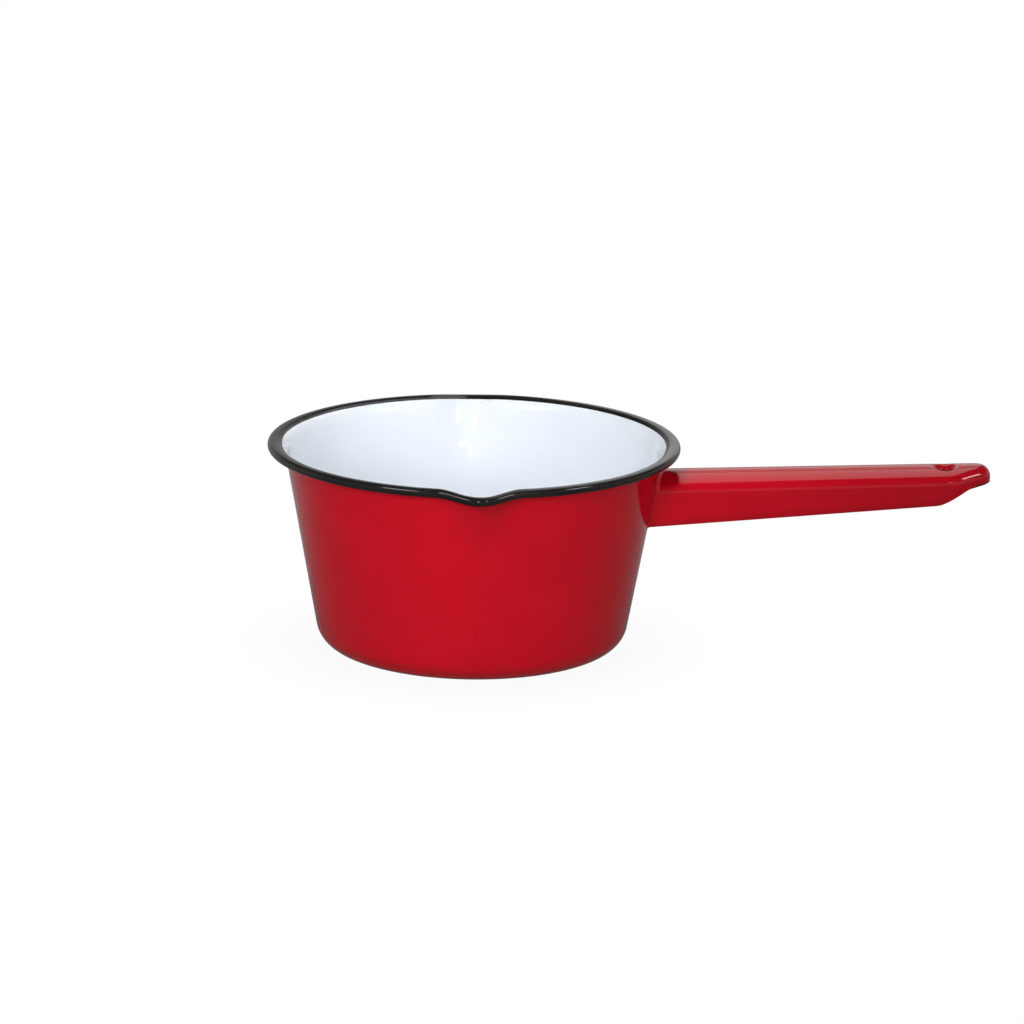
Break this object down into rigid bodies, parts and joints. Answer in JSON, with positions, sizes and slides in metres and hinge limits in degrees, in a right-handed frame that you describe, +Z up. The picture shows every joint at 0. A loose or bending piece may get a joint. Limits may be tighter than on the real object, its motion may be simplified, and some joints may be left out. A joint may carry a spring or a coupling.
{
  "type": "milk pan",
  "caption": "Small enamelled steel milk pan with a leaning wall, a rolled rim with two pouring lips, and a long channel handle with a hanging hole.",
  "frame": {"origin": "middle of the flat face that the pan rests on", "axes": "+Z up, +X along the handle away from the bowl, +Y towards one of the two pouring lips"},
  "size_m": [0.2987, 0.1816, 0.0863],
  "materials": {
    "steel": "drawn low-carbon steel sheet under the enamel",
    "white_enamel": "glossy fired enamel",
    "black_enamel": "glossy fired enamel",
    "red_enamel": "glossy fired enamel",
    "ground_enamel": "dark fired ground enamel"
  },
  "bodies": {
    "root": {"bowl_pressing": "steel", "white_lining": "white_enamel", "black_rim": "black_enamel", "red_jacket": "red_enamel", "handle_pressing": "steel", "root_weld": "steel", "handle_red_coat": "red_enamel", "handle_ground_coat": "ground_enamel"}
  },
  "joints": []
}
